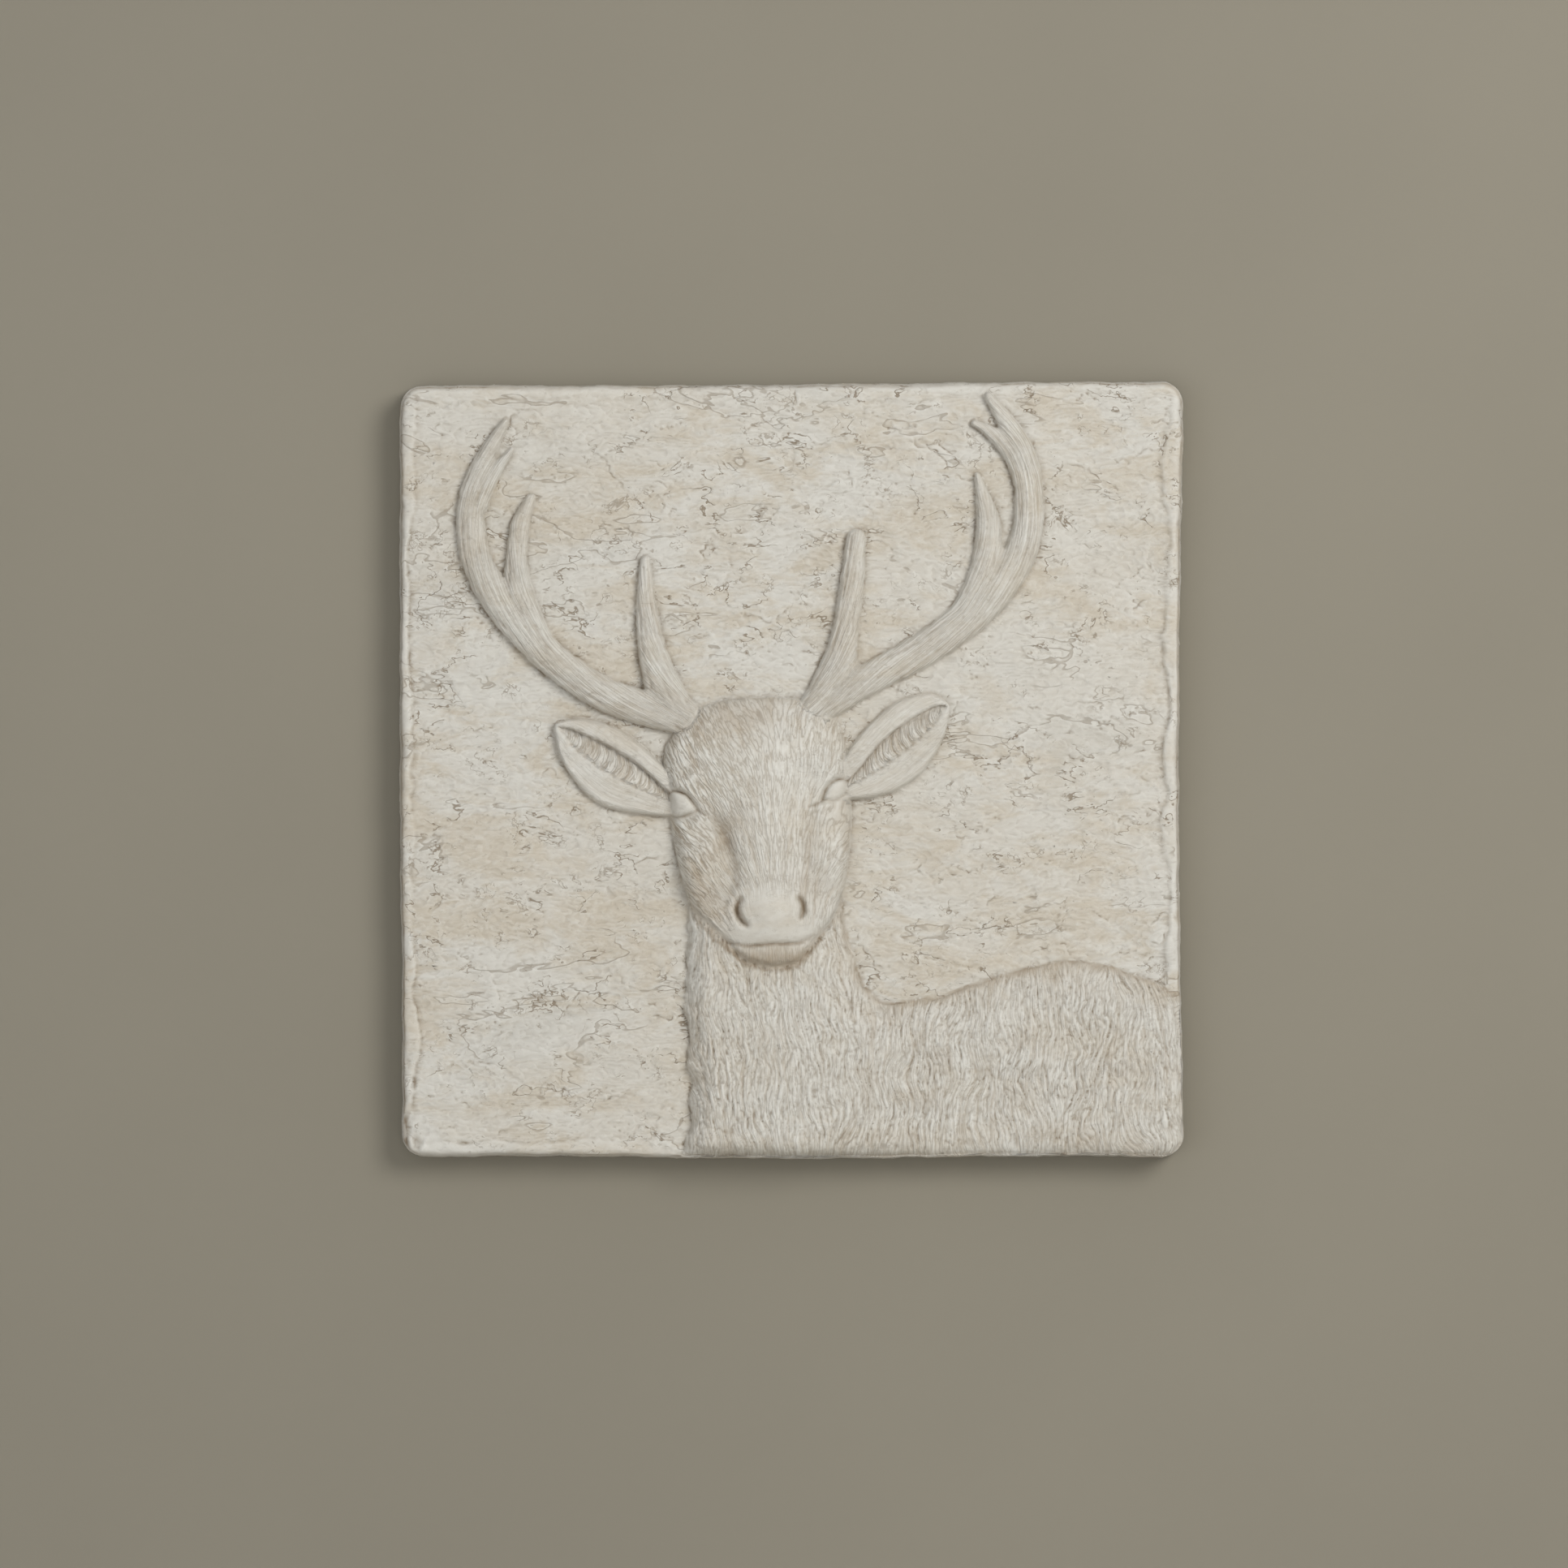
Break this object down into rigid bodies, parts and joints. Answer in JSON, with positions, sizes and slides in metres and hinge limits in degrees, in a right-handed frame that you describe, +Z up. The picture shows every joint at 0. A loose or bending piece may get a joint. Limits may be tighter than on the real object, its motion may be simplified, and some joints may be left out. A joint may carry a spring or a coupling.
{
  "type": "stag wall plaque",
  "caption": "Square cast relief plaque with a stag's head, antlers, neck and back on a rough plaster ground; hangs flat on a wall from a socket in its back.",
  "frame": {"origin": "middle of the flat back, in the plane of the wall that the plaque hangs on", "axes": "+X runs to the right across the front, +Z runs up as it hangs, and +Y points out of the back into the wall, so that the relief faces -Y"},
  "size_m": [0.3, 0.0313, 0.2975],
  "materials": {
    "plaster": "matt cream cast plaster with a thin brown wash in its hollows"
  },
  "bodies": {
    "root": {"plaque": "plaster"}
  },
  "joints": []
}
